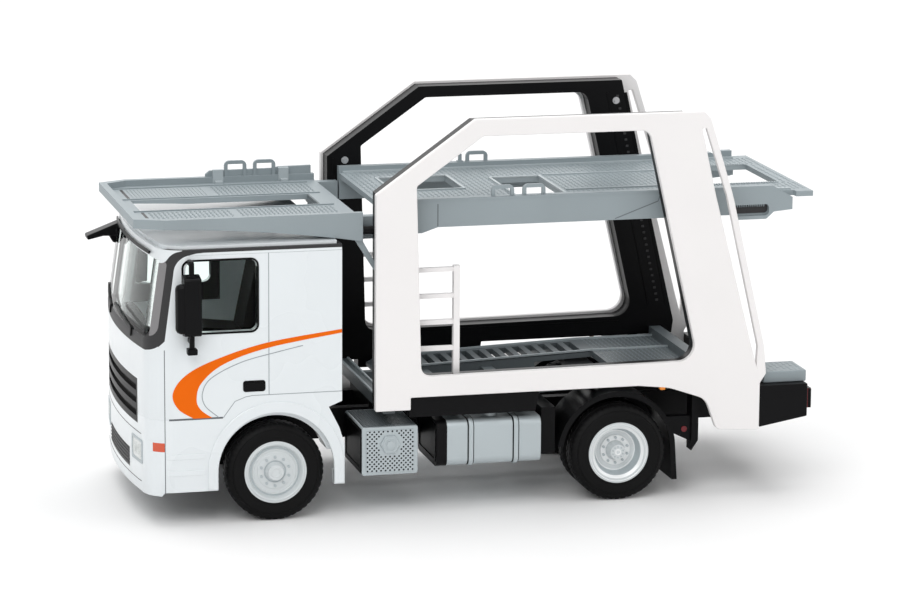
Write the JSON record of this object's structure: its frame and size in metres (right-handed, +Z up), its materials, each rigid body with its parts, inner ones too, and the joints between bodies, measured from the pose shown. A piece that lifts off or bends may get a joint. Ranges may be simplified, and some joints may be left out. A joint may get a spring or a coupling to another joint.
{
  "type": "scale model car transporter truck",
  "caption": "Small plastic model of a rigid car transporter truck: cab with a deck above it, tall side frames, upper and lower decks, and axles that roll",
  "frame": {"origin": "on the floor under the middle of the overall length and width", "axes": "+X forward out of the cab, +Y to the truck's left, +Z up"},
  "size_m": [0.0796, 0.033, 0.0442],
  "materials": {
    "panel_white": "satin moulded plastic",
    "cab_white": "gloss moulded plastic",
    "deck_grey": "matt moulded plastic",
    "deck_dark": "matt moulded plastic",
    "black_plastic": "satin moulded plastic",
    "trim_grey": "satin print",
    "interior_grey": "matt moulded plastic",
    "clear_glazing": "clear moulded plastic",
    "lamp_clear": "silver print",
    "lamp_orange": "print",
    "lamp_red": "print",
    "silver": "silver satin paint",
    "steel": "drawn wire",
    "tyre_black": "matt vinyl",
    "rim_silver": "silver-white plastic"
  },
  "bodies": {
    "truck": {"cab_shell": "cab_white", "cab_base": "cab_white", "cab_roof": "trim_grey", "roof_cap": "cab_white", "grille": "black_plastic", "glazing": "clear_glazing", "cab_interior": "interior_grey", "headlamps": "lamp_clear", "indicators": "lamp_orange", "bumper_intake": "trim_grey", "front_mudguards": "cab_white", "rear_mudguards": "black_plastic", "front_mirror": "black_plastic", "chassis_frame": "black_plastic", "engine_block": "black_plastic", "exhaust_box": "silver", "fuel_tank": "silver", "battery_box": "black_plastic", "reserve_tank": "silver", "coupling_beam": "black_plastic", "over_cab_deck": "deck_grey", "upper_deck": "deck_grey", "lower_deck": "deck_dark", "left_side_panel": "panel_white", "left_inner_frame": "black_plastic", "left_ladder": "panel_white", "left_mirror": "black_plastic", "left_tail_box": "black_plastic", "left_step_plate": "deck_grey", "left_tail_lamp": "lamp_red", "left_valve_box": "black_plastic", "right_side_panel": "panel_white", "right_inner_frame": "black_plastic", "right_ladder": "panel_white", "right_mirror": "black_plastic", "right_tail_box": "black_plastic", "right_step_plate": "deck_grey", "right_tail_lamp": "lamp_red", "right_valve_box": "black_plastic"},
    "front_wheels": {"front_axle": "steel", "left_front_tyre": "tyre_black", "left_front_rim": "rim_silver", "right_front_tyre": "tyre_black", "right_front_rim": "rim_silver"},
    "rear_wheels": {"rear_axle": "steel", "left_rear_outer_tyre": "tyre_black", "left_rear_inner_tyre": "tyre_black", "left_rear_rim": "rim_silver", "right_rear_outer_tyre": "tyre_black", "right_rear_inner_tyre": "tyre_black", "right_rear_rim": "rim_silver"}
  },
  "joints": [
    {"name": "front_wheels_spin", "type": "hinge", "parent": "truck", "child": "front_wheels", "pos_m": [0.0226, 0, 0.0055], "axis": [0, 1, 0], "continuous": true},
    {"name": "rear_wheels_spin", "type": "hinge", "parent": "truck", "child": "rear_wheels", "pos_m": [-0.0168, 0, 0.0055], "axis": [0, 1, 0], "continuous": true}
  ]
}
